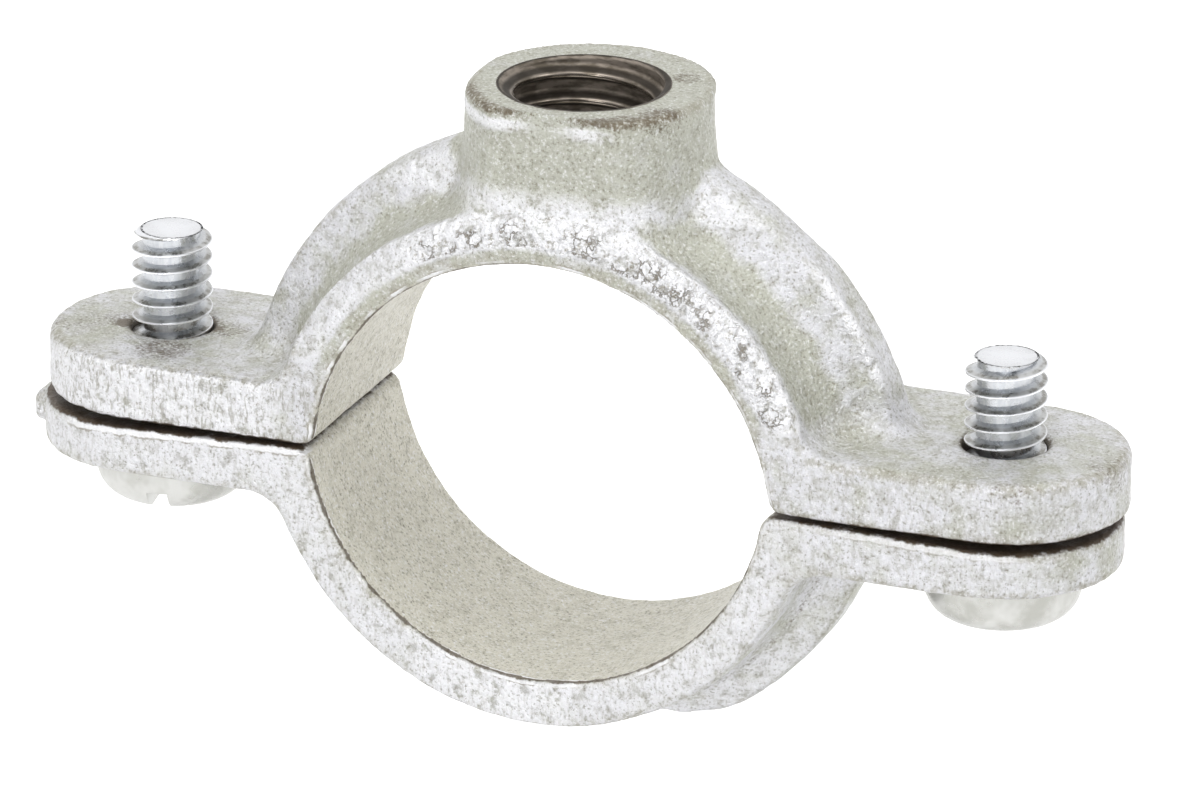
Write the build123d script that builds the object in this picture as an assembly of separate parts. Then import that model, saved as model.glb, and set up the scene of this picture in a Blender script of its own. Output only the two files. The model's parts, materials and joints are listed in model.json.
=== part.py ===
from build123d import *
import os

# A split ring hanger: two malleable iron half rings, closed round a pipe by two
# slotted screws, under a boss tapped for a hanger rod. Lengths are in millimetres.
# Origin: middle of the ring opening on the line where the halves meet.
# +X runs along the ears, +Y along the pipe and +Z up the rod.

# Pipe and ring. Each half's bore is struck from beyond its meeting face, so the
# halves stand apart once they grip the pipe.
pipe_diameter = 28.5
upper_bore_drop = 1.1
lower_bore_drop = 1.83
ring_width = 14.2
ring_wall = 2.85
face_edge_round = 0.3
meeting_corner_round = 1.0

# Central rib round each half
upper_rib_height = 3.55
lower_rib_height = 2.45
rib_top_width = 2.9
rib_root_width = 5.6
rib_edge_round = 0.6
upper_valley_fillet = 3.2
lower_valley_fillet = 2.4
rib_flat_height = 0.15  # what is left of the lower rib where it runs out into a flat
rib_flat_round = 8.0

# Ears
screw_stand_off = 9.0  # from the outside of the band to the screw's axis
ear_overhang = 7.3  # from the screw's axis to the end of the ear
upper_ear_top = 3.65
lower_ear_bottom = 3.4
meeting_gap = 0.1  # at the ring, widening by the taper towards the lower ears' ends
lower_ear_taper = 0.55
upper_ear_fillet = 2.0
lower_ear_fillet = 2.6
upper_edge_round = 0.6
lower_edge_round = 0.4
lower_half_shift = 0.35  # the lower half's play in its screw holes, taken up leftwards
gate_stub_reach = 0.6
gate_stub_width = 4.2
gate_stub_height = 1.9
gate_stub_round = 0.5

# Rod boss. Its heights are measured from the crown of the band.
boss_proud = 0.1  # how much wider than the ring the boss is
boss_offset = 0.38  # the cast boss stands a little to the right of its thread
boss_height = 6.1
boss_draft = 0.2
boss_rim_round = 0.5
boss_waist_cut = 1.4  # how much narrower it is across the pipe, where it stands on the band
boss_waist_height = 4.0  # where it has its full width again
boss_flare_radius = 7.0
boss_flare_angle = 40
boss_flare_height = 2.2
rod_thread_minor = 8.1
rod_countersink = 9.9

# Screws
screw_diameter = 4.8
screw_length = 12.7
screw_length_spread = 0.35  # the left one is longer than this size by it, the right one shorter
screw_point = 0.55
thread_clearance = 0.06
screw_hole_countersink = 5.3
shank_play = 0.2  # left in the lower half's holes beyond its sideways shift
screw_hole_chamfer = 0.25
head_diameter = 9.2
head_height = 3.4
head_edge_round = 1.9
slot_width = 1.25
slot_depth = 1.3
left_slot_angle = 100
right_slot_angle = 25

# Values that follow from the sizes above
bore_radius = pipe_diameter / 2
band_radius = bore_radius + ring_wall
half_width = ring_width / 2
crown = band_radius - upper_bore_drop
boss_diameter = ring_width + boss_proud
boss_waist = boss_diameter - boss_waist_cut
boss_top = crown + boss_height
boss_waist_top = crown + boss_waist_height
boss_flare_top = crown + boss_flare_height
screw_x = band_radius + screw_stand_off
ear_end = screw_x + ear_overhang
half_turn = 180
reach = 2 * (ear_end + boss_top)  # longer than anything that it has to cut through
same = 1e-4  # places closer than this count as one


def ribbed_ring(bore_drop, rib_height, valley_fillet):
    """A band with a central rib, swept all the way round the pipe."""
    rib_radius = band_radius + rib_height
    outline = Polyline(
        (0, bore_radius),
        (half_width, bore_radius),
        (half_width, band_radius),
        (rib_root_width / 2, band_radius),
        (rib_top_width / 2, rib_radius),
        (0, rib_radius),
        close=True,
    )
    half_section = make_face(outline)
    valley = half_section.vertices().sort_by_distance((rib_root_width / 2, band_radius))[0]
    half_section = fillet(valley, valley_fillet)
    rib_edge = half_section.vertices().sort_by_distance((rib_top_width / 2, rib_radius))[0]
    half_section = fillet(rib_edge, rib_edge_round)
    section = Plane.YZ * (half_section + mirror(half_section, Plane.YZ))
    return Pos(0, 0, -bore_drop) * revolve(section, Axis.Y, 2 * half_turn)


def above_meeting_faces(taper):
    """The space over both meeting faces, which rise by the taper from the bore to the ears' ends."""
    start = bore_radius - 2 * meeting_corner_round
    side = Polyline(
        (start, 0),
        (ear_end, taper),
        (ear_end, reach),
        (-ear_end, reach),
        (-ear_end, taper),
        (-start, 0),
        close=True,
    )
    return extrude(Plane.XZ * make_face(side), reach, both=True)


def pipe_bore(bore_drop):
    return Pos(0, 0, -bore_drop) * Rot(90, 0, 0) * Cylinder(bore_radius, reach)


def casting(bore_drop, rib_height, valley_fillet, ear_height, ear_taper, ear_fillet, edge_round):
    """One half without its boss or holes, the right way up for the upper half."""
    ear_bar = extrude(SlotOverall(2 * ear_end, ring_width), ear_height)
    body = ribbed_ring(bore_drop, rib_height, valley_fillet) + ear_bar - pipe_bore(bore_drop)
    body &= above_meeting_faces(ear_taper)
    foot = [e for e in level_edges(body, ear_height) if abs(e.center().Y) < half_width - edge_round]
    foot = [e for e in foot if abs(e.center().X) < screw_x - screw_diameter / 2]
    body = fillet(foot, ear_fillet)
    body = fillet(upper_rim(body, ear_height, bore_drop), edge_round)
    body = fillet(meeting_corners(body), meeting_corner_round)
    return fillet(inner_rim(body, ear_height / 2, bore_drop), face_edge_round)


def level_edges(body, height):
    return body.edges().filter_by_position(Axis.Z, height - same, height + same)


def from_bore_axis(place, bore_drop):
    return Vector(place.X, 0, place.Z + bore_drop).length


def upper_rim(body, height, bore_drop):
    """The outer edges of both faces, over the ring and the ears, and round the ears' ends."""
    rim = []
    for side in (-half_width, half_width):
        for edge in body.edges().filter_by_position(Axis.Y, side - same, side + same):
            middle = edge.position_at(0.5)
            off_bore = from_bore_axis(middle, bore_drop) > bore_radius + ring_wall / 2
            if off_bore and middle.Z > height - ring_wall / 2:
                rim.append(edge)
    ends = [e for e in level_edges(body, height) if abs(e.center().X) > screw_x]
    return rim + ends


def meeting_corners(body):
    """The two edges along the pipe where the bore runs into the meeting faces."""
    along_pipe = body.edges().filter_by(Axis.Y)
    return [e for e in along_pipe if abs(e.center().X) < bore_radius and e.center().Z < meeting_corner_round]


def inner_rim(body, height, bore_drop):
    """The edges of both faces round the bore and along the meeting faces, and the ears' ends."""
    rim = []
    for edge in body.edges():
        middle = edge.position_at(0.5)
        on_face = abs(abs(middle.Y) - half_width) < face_edge_round / 2
        by_bore = from_bore_axis(middle, bore_drop) < bore_radius + face_edge_round
        upright = abs(edge.tangent_at(0.5).Z) > 0.9
        if on_face and (by_bore or (middle.Z < height and not upright)):
            rim.append(edge)
        elif abs(middle.X) > ear_end - face_edge_round and middle.Z < height and not upright:
            rim.append(edge)
    return rim


def boss():
    """The rod boss with its flared foot, faired into the faces of the ring below it."""
    radius = boss_diameter / 2
    foot_radius = radius + boss_draft
    flare_middle = (foot_radius + boss_flare_radius, boss_flare_top)
    flare = CenterArc(flare_middle, boss_flare_radius, half_turn, boss_flare_angle)
    foot = flare @ 1
    top = Line((radius, boss_top), (foot_radius, boss_flare_top))
    rim = Polyline((foot.X, foot.Y), (0, foot.Y), (0, boss_top), (radius, boss_top))
    barrel = revolve(Plane.XZ * make_face(flare + top + rim), Axis.Z, 2 * half_turn)
    barrel = fillet(barrel.edges().sort_by(Axis.Z)[-1], boss_rim_round)
    return Pos(boss_offset, 0, 0) * barrel & boss_fairing()


def boss_fairing():
    """What the boss keeps inside across the pipe: the faces, a waist, then its own width."""
    side = Polyline(
        (0, 0),
        (half_width, 0),
        (half_width, crown - ring_wall / 2),
        (boss_waist / 2, crown),
        (boss_diameter / 2 + boss_draft, boss_waist_top),
        (boss_diameter / 2 + boss_draft, boss_top),
        (0, boss_top),
        close=True,
    )
    half = make_face(side)
    return extrude(Plane.YZ * (half + mirror(half, Plane.YZ)), reach, both=True)


def rod_hole():
    """The tapped hole right through the boss, at the thread's inner diameter."""
    countersink = (rod_countersink - rod_thread_minor) / 2
    drill = Cylinder(rod_thread_minor / 2, boss_top, align=(Align.CENTER, Align.CENTER, Align.MIN))
    mouth = Cone(rod_thread_minor / 2, rod_countersink / 2, countersink)
    return drill + Pos(0, 0, boss_top - countersink / 2) * mouth


def screw_holes(diameter, mouth, height):
    """A pair of holes at the screws, opened out at the outer side of the ears."""
    depth = (mouth - diameter) / 2
    drill = Cylinder(diameter / 2, 2 * height)
    cone = Pos(0, 0, height - depth / 2) * Cone(diameter / 2, mouth / 2, depth)
    hole = drill + cone
    return Pos(-screw_x, 0, 0) * hole + Pos(screw_x, 0, 0) * hole


def upper_half():
    body = casting(
        upper_bore_drop,
        upper_rib_height,
        upper_valley_fillet,
        upper_ear_top,
        0,
        upper_ear_fillet,
        upper_edge_round,
    )
    body += boss()
    tapped = screw_diameter + 2 * thread_clearance
    return body - rod_hole() - screw_holes(tapped, screw_hole_countersink, upper_ear_top)


def lower_half():
    ear_height = lower_ear_bottom - meeting_gap
    body = casting(
        lower_bore_drop,
        lower_rib_height,
        lower_valley_fillet,
        ear_height,
        lower_ear_taper,
        lower_ear_fillet,
        lower_edge_round,
    )
    body = body - rib_run_out() + gate_stub()
    clear = screw_diameter + 2 * (lower_half_shift + shank_play)
    body -= screw_holes(clear, clear + 2 * screw_hole_chamfer, ear_height)
    return Pos(-lower_half_shift, 0, -meeting_gap) * Rot(0, half_turn, 0) * body


def rib_run_out():
    """What is taken off the lower rib, which runs out into a flat farthest from the ears."""
    flat = band_radius - lower_bore_drop + rib_flat_height
    beyond_rib = band_radius + lower_rib_height + face_edge_round
    kept = Pos(0, -lower_bore_drop) * Circle(beyond_rib) & Pos(0, flat - reach / 2) * Rectangle(reach, reach)
    kept = fillet(kept.vertices().group_by(Axis.Y)[-1], rib_flat_round)
    above = Pos(0, (bore_radius + reach) / 2) * Rectangle(reach, reach)
    return extrude(Plane.XZ * (above - kept), half_width, both=True)


def gate_stub():
    """The broken-off gate that was left on the tip of one lower ear."""
    length = 2 * ear_overhang - screw_diameter
    stub = Box(length, gate_stub_width, gate_stub_height)
    stub = fillet(stub.edges(), gate_stub_round)
    middle = (lower_ear_bottom - meeting_gap + lower_ear_taper) / 2
    return Pos(ear_end + gate_stub_reach - length / 2, 0, middle) * stub


def screw(x, length, slot_angle):
    """A slotted pan-head machine screw, pointing up, with its head under the lower ear."""
    shank = Cylinder(screw_diameter / 2, length, align=(Align.CENTER, Align.CENTER, Align.MIN))
    shank = chamfer(shank.edges().sort_by(Axis.Z)[-1], screw_point)
    head = Cylinder(head_diameter / 2, head_height, align=(Align.CENTER, Align.CENTER, Align.MAX))
    head = fillet(head.edges().sort_by(Axis.Z)[0], head_edge_round)
    slot = Box(head_diameter, slot_width, slot_depth, align=(Align.CENTER, Align.CENTER, Align.MIN))
    slot = Pos(0, 0, -head_height) * Rot(0, 0, slot_angle) * slot
    return Pos(x, 0, -lower_ear_bottom) * (shank + head - slot)


os.makedirs("parts", exist_ok=True)
parts = {
    "upper_half": upper_half(),
    "lower_half": lower_half(),
    "left_screw": screw(-screw_x, screw_length + screw_length_spread, left_slot_angle),
    "right_screw": screw(screw_x, screw_length - screw_length_spread, right_slot_angle),
}
for name, solid in parts.items():
    export_step(solid, f"parts/{name}.step")
    print(name, round(solid.volume, 1))
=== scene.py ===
import json
import math

import bmesh
import bpy
import numpy as np
from mathutils import Matrix, Vector
from mathutils.bvhtree import BVHTree


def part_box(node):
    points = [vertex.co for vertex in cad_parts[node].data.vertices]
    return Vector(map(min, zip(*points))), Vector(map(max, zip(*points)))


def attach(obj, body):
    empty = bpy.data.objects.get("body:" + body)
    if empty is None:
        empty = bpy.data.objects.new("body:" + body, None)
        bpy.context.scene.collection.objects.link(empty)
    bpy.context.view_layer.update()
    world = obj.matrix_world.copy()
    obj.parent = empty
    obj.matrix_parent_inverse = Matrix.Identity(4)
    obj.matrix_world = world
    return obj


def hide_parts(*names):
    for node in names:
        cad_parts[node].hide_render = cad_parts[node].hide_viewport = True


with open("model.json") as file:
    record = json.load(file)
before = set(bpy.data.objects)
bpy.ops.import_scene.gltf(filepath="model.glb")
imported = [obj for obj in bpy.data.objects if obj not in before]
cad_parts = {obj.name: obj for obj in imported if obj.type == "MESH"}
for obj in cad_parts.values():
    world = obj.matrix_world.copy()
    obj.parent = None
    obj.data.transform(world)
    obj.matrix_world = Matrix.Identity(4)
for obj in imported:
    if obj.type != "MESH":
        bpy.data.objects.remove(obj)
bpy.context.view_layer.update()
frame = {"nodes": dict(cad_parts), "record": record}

# Lengths are in metres unless a comment says mm. The hanger stands in the frame of its solids:
# the pipe runs along Y through the origin, the ears along X and the rod up Z.
MM = 0.001
MERGE_DISTANCE = 1e-7

# Places read from the frame
UPPER_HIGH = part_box("upper_half")[1]
LOWER_LOW, LOWER_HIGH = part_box("lower_half")
LEFT_LOW, LEFT_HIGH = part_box("left_screw")
RIGHT_LOW, RIGHT_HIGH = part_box("right_screw")
ROD_MOUNT = next(m for m in frame["record"]["mounts"] if m["name"] == "rod_thread")
ROD_MINOR = ROD_MOUNT["dims"]["r_mm"] * MM
BOSS_TOP = UPPER_HIGH.z
LEFT_X = (LEFT_LOW.x + LEFT_HIGH.x) / 2
RIGHT_X = (RIGHT_LOW.x + RIGHT_HIGH.x) / 2
HEAD_RADIUS = (RIGHT_HIGH.x - RIGHT_LOW.x) / 2
HALF_WIDTH = (LOWER_HIGH.y - LOWER_LOW.y) / 2

# Ring and boss
BORE_RADIUS = 14.25 * MM
UPPER_BORE = (0.0, -1.1 * MM)
LOWER_BORE = (-0.35 * MM, 1.73 * MM)
UPPER_EAR_TOP = 3.65 * MM
SEAM_GAP = 0.1 * MM
LOWER_TAPER = 0.55 * MM
EAR_REACH = UPPER_HIGH.x - BORE_RADIUS
BOSS_RADIUS = 7.15 * MM
BOSS_OFFSET = 0.38 * MM

# Rod thread in the boss
ROD_PITCH = 25.4 / 16 * MM
ROD_MAJOR = 4.76 * MM
ROD_MOUTH = 4.95 * MM
ROD_THREAD_BOTTOM = 13.1 * MM
ROD_THREAD_START = math.radians(87)
ROD_THREAD_FORM = {
    "Pitch": ROD_PITCH,
    "Rows per turn": 20,
    "Columns": 96,
    "Root width": 0.36,
    "Crest width": 0.14,
    "Root radius": ROD_MAJOR,
    "Crest radius": ROD_MINOR,
    "Start radius": ROD_MAJOR,
    "End radius": ROD_MOUTH,
    "Run out": 0.4 * MM,
    "Cap radius": 5.1 * MM,
    "Closing height": 0.0,
    "Side": -1.0,
}

# Screws
SCREW_PITCH = 25.4 / 24 * MM
SCREW_MINOR = 1.72 * MM
SCREW_THREAD_FORM = {
    "Pitch": SCREW_PITCH,
    "Rows per turn": 20,
    "Columns": 72,
    "Root width": 0.44,
    "Crest width": 0.09,
    "Root radius": SCREW_MINOR,
    "Crest radius": 2.4 * MM,
    "Start radius": SCREW_MINOR,
    "End radius": 1.85 * MM,
    "Run out": 0.5 * MM,
    "Cap radius": 0.0,
    "Side": 1.0,
}
SHANK_SUNK = 0.2 * MM
HEAD_HEIGHT = 3.4 * MM
HEAD_ROUND = 1.9 * MM
HEAD_ARC_STEPS = 12
HEAD_SEGMENTS = 128
SEAT_CHAMFER = 0.12 * MM
SLOT_WIDTH = 1.25 * MM
SLOT_DEPTH = 1.3 * MM
EDGE_WIDTH = 0.06 * MM
EDGE_ANGLE = math.radians(40)
LEFT_SLOT_ANGLE = math.radians(100)
RIGHT_SLOT_ANGLE = math.radians(25)
LEFT_THREAD_START = math.radians(70)
RIGHT_THREAD_START = math.radians(200)
SPARE_TURNS = 2

# Threads: a nudge that keeps whole turns from rounding down, how near the end the tip is, in
# run-outs, and how far up the flank it counts, so that the tip takes the crests' painted highlight
TURN_NUDGE = 1e-4
TIP_SHARE = 0.2
TIP_MARK = 0.92
THREAD_MERGE_DISTANCE = 1e-6
SHARP_EDGE_ANGLE = math.radians(50)

# Cast skin
VOXEL = 0.25 * MM
SOFTEN_STEPS = 3
SKIN_SIZES = {
    "Lump size": 7.0 * MM,
    "Lump depth": 0.1 * MM,
    "Ripple size": 1.3 * MM,
    "Ripple depth": 0.04 * MM,
    "Crust size": 0.7 * MM,
    "Crust depth": 0.2 * MM,
}
UPPER_SEED = 0.0
LOWER_SEED = 0.3
FLAKE_EDGES = (0.34, 0.66)
FLAKE_SINK = 0.6
SPOT_CORE = 0.3
# A lump of dross on the lower casting: its place, radius and height
DROSS = ((7.3 * MM, -2.6 * MM, -15.3 * MM), 1.3 * MM, 0.2 * MM)

# Bevel on the front edge of the arch
BEVEL_START = 15.1 * MM
BEVEL_RUN = 2.0 * MM
BEVEL_REACH = 1.3
BEVEL_CURVE = 1.4
BEVEL_DEPTH = 0.75 * MM
BEVEL_LIMIT = 1.2 * MM

# Rim at the back of the boss, which stands out and up
BACK_RIM_WIDTH = 0.9 * MM
BACK_RIM_CORE = 0.1 * MM
BACK_RIM_OUT = 0.22 * MM
BACK_RIM_UP = 0.14 * MM

# Steps of averaging that soften the foot of the boss and the lower half's edge, and that tell the
# small and the broad hollows, with the depths at which those hollows are marked in full
FOOT_STEPS = 40
LOWER_EDGE_STEPS = 30
FINE_STEPS = 5
BROAD_STEPS = 60
FINE_DEPTH = 0.05 * MM
BROAD_DEPTH = 1.0 * MM

# Zones of the castings, by limits in mm on the distances that zone_mask names. The mask of a zone
# is 0 at the first limit and 1 at the second, and where there are four, back at 0 at the last.
SKIN_ZONE = {"from_screw": (2.6, 3.2)}
BORE_ZONE = {"radius": (14.75, 14.5)}
ARCH_ZONE = {"z": (4.5, 8.0)}
BOSS_FOOT_ZONE = {
    "z": (12.5, 14.5, 19.8, 20.8),
    "from_rod": (5.2, 6.2),
    "radius": (14.85, 15.75),
}
BACK_ZONE = {"y": (0, 3)}
RIGHT_EDGE_ZONE = {"x": (2, 9), "radius": (15.6, 16.6), "down": (3.8, 5.5), "front": (1, 3)}
RIB_FLAT_ZONE = {"down": (14.2, 15.2), "y": (-4.5, -3, 3, 4.5)}
RING_HEIGHT = (4.2, 6.0)
BOSS_FRONT = {"front": (1, 3), "from_rod": (5.8, 6.4)}
UPPER_ZONES = {
    "arch_edge": {"radius": (15.0, 15.6, 17.0, 17.8), "front": (5.6, 6.2), "z": RING_HEIGHT},
    "outer_arch": {"radius": (16.0, 16.8)},
    "left_arch": {"left": (6.5, 9.5)},
    "side_wall": {"z": (3.85, 3.55)},
    "left_side": {"left": (-16, 0)},
    "left_end": {"left": (14, 18)},
    "boss_foot": {"z": (14.5, 15.5, 16.5, 18.5)},
    "below_rim": {"below_top": (0.45, 0.7, 1.1, 1.7), **BOSS_FRONT, "left": (-5.5, -2.5)},
    "rim": {"below_top": (0.65, 0.35), **BOSS_FRONT},
    "rib_edge": {
        "radius": (20.0, 20.3),
        "front": (0.7, 1.0, 1.6, 1.9),
        "x": (13.5, 16.0),
        "z": (5.5, 7.5),
    },
    "valley": {
        "radius": (16.6, 16.9, 17.6, 18.8),
        "y": (-6.2, -5.2, 5.2, 6.2),
        "z": RING_HEIGHT,
    },
    "ear_top": {"z": (3.2, 3.5, 4.2, 5.0)},
    "boss_wall": {"z": (16.0, 18.0), "from_rod": (8.2, 7.6)},
    "arch_face": {"radius": (15.4, 15.0), "z": RING_HEIGHT},
    "hole_wall": {"from_screw": (2.85, 2.5)},
}
LOWER_ZONES = {
    "groove": {"radius": (16.2, 16.8, 17.4, 18.0), "front": (1.9, 2.4, 2.8, 3.3)},
    "scales": {"x": (-11, -7, 1, 5), "down": (6, 9)},
    "right_wall": {"x": (13, 17)},
    # The lower ears' front, where a painted highlight band follows the seam
    "highlight_left": {"left": (12.5, 14.5), "front": (5.6, 6.8)},
    "highlight_right": {"x": (15, 20), "front": (5.6, 6.8)},
}

# How strongly each zone is crusted, which also paints it white as a highlight, olive, stained or
# streaked, and how strongly the seam takes its painted highlight band
UPPER_CRUST_AND_HIGHLIGHT = {
    "arch_edge": 1,
    "left_wall": 0.46,
    "boss_foot": 0.36,
    "below_rim": 0.5,
    "rib_edge": 0.5,
    "all_over": 0.12,
}
# The olive in the valley beside the rib is painted shade
UPPER_OLIVE = {"valley": 0.9, "ear_top": 0.25, "boss_wall": 1, "arch_face": 0.6}
UPPER_STAIN = {"right_ear_hole": 0.55, "rim": 0.66, "hole_wall": 0.9}
LOWER_CRUST_AND_HIGHLIGHT = {"scales": 0.46, "wall": 0.32, "all_over": 0.1}
OUTER_ARCH_LOSS = 0.42
LEFT_ARCH_LOSS = 0.66
RIGHT_WALL_LOSS = 0.4
UPPER_STREAK = 0.5
LOWER_STREAK = 0.45
RIGHT_OLIVE = 0.25
GROOVE_STAIN = 0.6
# Share of the seam's painted highlight band on the right ear
RIGHT_HIGHLIGHT = 0.5

# How far a normal leans some way where its face starts to count as facing that way, and where
# it counts in full
FACING = (0.3, 0.8)
LYING_FLAT = (0.5, 0.9)

# Dirt at the bore's rim: how far behind the front face it starts to fade, and how fast
RIM_DIRT_DEPTH = 0.35 * MM
RIM_DIRT_FADE = 3

# Stained spots on top of the upper casting: strength, where x and y are taken from, x, y and radius
# in mm
LEFT_HOLE = (LEFT_X, UPPER_EAR_TOP)
EARS = (0.0, UPPER_EAR_TOP)
BOSS = (0.0, BOSS_TOP)
UPPER_SPOTS = [
    (1, LEFT_HOLE, -2.6, -0.9, 1.1),
    (0.5, LEFT_HOLE, -3.4, -0.6, 1.9),
    (1, LEFT_HOLE, 2.7, 0.2, 0.8),
    (0.5, LEFT_HOLE, 3.4, 0.2, 2.4),
    (0.6, LEFT_HOLE, 1.2, -4.2, 3.0),
    (0.4, LEFT_HOLE, -5.0, -2.0, 3.2),
    (0.5, BOSS, 6.0, -3.4, 2.4),
    (0.5, BOSS, 5.2, 3.0, 1.6),
    (0.45, EARS, 33.0, -1.0, 3.0),
    (0.4, EARS, 29.0, -6.9, 2.6),
]
RIGHT_EAR_STAIN = 3.4 * MM

# Colours of the hot-dip zinc
OLIVE_ZINC = (0.49, 0.495, 0.41, 1)
GREY_ZINC = (0.74, 0.74, 0.77, 1)
BORE_ZINC = (0.74, 0.715, 0.61, 1)
# Painted shade for the broad hollows
HOLLOW_SHADE = (0.42, 0.42, 0.34, 1)
EDGE_TINT = (0.34, 0.31, 0.22, 1)
CLOUD_TINT = (0.42, 0.41, 0.35, 1)
# Painted highlight: the crusted zones are painted this white
CRUST_HIGHLIGHT_WHITE = (0.97, 0.97, 0.99, 1)
SPECK_COLOR = (0.2, 0.18, 0.12, 1)
# Painted glints in the grain
GLINT_COLOR = (0.95, 0.95, 0.97, 1)
STREAK_COLOR = (0.3, 0.28, 0.22, 1)
CRACK_COLOR = (0.2, 0.165, 0.11, 1)
# Painted shade for the small pits
PIT_SHADE = (0.3, 0.27, 0.2, 1)
STAIN_COLOR = (0.12, 0.085, 0.045, 1)
CREASE_COLOR = (0.28, 0.24, 0.18, 1)
# Painted highlight along the chamfers of the bore's rim and of the lower seam
CHAMFER_HIGHLIGHT = (0.97, 0.97, 0.98, 1)
DIRT_COLOR = (0.09, 0.06, 0.035, 1)

# Colours of the tapped thread and of the screws
TAPPED_DARK = (0.13, 0.11, 0.085, 1)
TAPPED_LIGHT = (0.3, 0.26, 0.22, 1)
# Grease and painted shade on the tapped thread's flanks
GREASE_AND_SHADE_COLOR = (0.025, 0.02, 0.015, 1)
THREAD_DARK = (0.6, 0.61, 0.62, 1)
THREAD_LIGHT = (0.76, 0.77, 0.78, 1)
# Painted highlight on the screw threads' crests
THREAD_CREST_HIGHLIGHT = (0.9, 0.91, 0.94, 1)
# Painted reflection: the screw threads' roots are tinted blue-grey
THREAD_ROOT_REFLECTION = (0.55, 0.57, 0.6, 1)
# Painted shade on the screw threads' flanks, under the crests
FLANK_SHADE_COLOR = (0.2, 0.19, 0.16, 1)
HEAD_DARK = (0.42, 0.42, 0.39, 1)
HEAD_LIGHT = (0.6, 0.6, 0.58, 1)

# Patterns in the finishes: the size, detail and roughness of their noise
PATCHES = (2.4 * MM, 3.0, 0.6)
MOTTLE = (0.8 * MM, 3.0, 0.65)
GRAIN = (0.19 * MM, 3.0, 0.7)
STREAK_LINES = (0.22 * MM, 2.0, 0.6)
SMEAR = (1.2 * MM, 3.0, 0.6)
# Streaks of painted reflection on the screw threads' roots
ROOT_REFLECTION_LINES = (0.25 * MM, 3.0, 0.65)
SCRATCHES = (0.12 * MM, 2.0, 0.5)
HAZE_GRAIN = (3.0, 0.6)
THREAD_HAZE_SIZE = 0.8 * MM
HEAD_HAZE_SIZE = 2.5 * MM
CRUMB_SIZE = 0.8 * MM
CRUMB_WANDER = 1.3

# Shares of Z that draw those patterns out along the screws' and the hole's axes, or flatten them
STREAK_DRAW = 0.25
# Draws the painted reflection streaks out along the screws' axes
ROOT_REFLECTION_DRAW = 0.2
SMEAR_DRAW = 3.0

# Depth of the relief in the finishes, how metallic they are and how strong the dirt lines are
ZINC_RELIEF = 0.12 * MM
PLATE_RELIEF = 0.02 * MM
PLATE_RELIEF_STRENGTH = 0.5
HOT_DIP_METALLIC = 0.4
TAPPED_METALLIC = 0.8
PLATE_METALLIC = 1.0
RIM_GAP_SCALE = 1.6
RIM_DIRT = 0.75
SEAM_DIRT = 0.95

# Camera
CAMERA_AZIMUTH = math.radians(21.4176)
CAMERA_ELEVATION = math.radians(20.7864)
CAMERA_ROLL = math.radians(0.249)
CAMERA_DISTANCE = 0.6
CAMERA_RIGHT_SHIFT = 0.5042 * MM
CAMERA_UP_SHIFT = 2.5613 * MM
CAMERA_LENS = 312.4
CAMERA_SENSOR = 36.0
CAMERA_NEAR = 0.01
CAMERA_FAR = 10.0

# Studio
FLOOR_Z = -0.0275
FLOOR_SIZE = 3.0
FLOOR_GREY = (0.8, 0.8, 0.8, 1)
FLOOR_ROUGHNESS = 0.9
FLOOR_GLOW = 0.6
DARK_SIDE = math.radians(20)
DARK_SIDE_EDGES = (0.35, 0.85)
STUDIO_WHITE = (1, 1, 1, 1)
STUDIO_DARK = (0.22, 0.23, 0.25, 1)
STUDIO_FILL = 0.6
LAMP_DISTANCE = 0.5
# Name, azimuth and elevation in degrees, size in metres, power in watts
LAMPS = [
    ("key", 5, 22, 0.22, 0.72),
    ("side", 95, 35, 0.25, 0.3),
    ("top", 5, 72, 0.3, 0.95),
]


# Node trees

def new_tree(name, kind, inputs, outputs):
    """A node group with its named sockets: the tree, the sockets that give its inputs and those
    that take its outputs."""
    tree = bpy.data.node_groups.new(name, kind)
    for label, socket_type, value in inputs:
        socket = tree.interface.new_socket(label, in_out="INPUT", socket_type=socket_type)
        if value is not None:
            socket.default_value = value
    for label, socket_type in outputs:
        tree.interface.new_socket(label, in_out="OUTPUT", socket_type=socket_type)
    return tree, tree.nodes.new("NodeGroupInput").outputs, tree.nodes.new("NodeGroupOutput").inputs


def add(tree, kind, inputs=None, **settings):
    """Adds a node. An input is a value, or a socket to link from."""
    node = tree.nodes.new(kind)
    for key, value in settings.items():
        setattr(node, key, value)
    for key, value in (inputs or {}).items():
        plug(tree, value, node.inputs[key])
    return node


def plug(tree, value, socket):
    if isinstance(value, bpy.types.NodeSocket):
        tree.links.new(value, socket)
    else:
        socket.default_value = value


def calc(tree, operation, *values):
    return add(tree, "ShaderNodeMath", dict(enumerate(values)), operation=operation).outputs[0]


def times(tree, first, second):
    return calc(tree, "MULTIPLY", first, second)


def vector_calc(tree, operation, first, second):
    """Maths on a vector. The second value is a vector too, or the number to scale by."""
    key = "Scale" if operation == "SCALE" else 1
    values = {0: first, key: second}
    return add(tree, "ShaderNodeVectorMath", values, operation=operation).outputs[0]


def ramp(tree, value, low, high, out_low=0.0, out_high=1.0):
    """A smooth step from out_low to out_high as the value goes from low to high."""
    node = add(
        tree,
        "ShaderNodeMapRange",
        {
            "Value": value,
            "From Min": low,
            "From Max": high,
            "To Min": out_low,
            "To Max": out_high,
        },
        interpolation_type="SMOOTHSTEP",
    )
    return node.outputs["Result"]


def choose(tree, factor, first, second):
    return add(tree, "ShaderNodeMix", {0: factor, 2: first, 3: second}).outputs[0]


def blend_color(tree, factor, first, second):
    node = add(tree, "ShaderNodeMix", data_type="RGBA")
    for key, value in (("Factor", factor), (6, first), (7, second)):
        plug(tree, value, node.inputs[key])
    return node.outputs[2]


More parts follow.
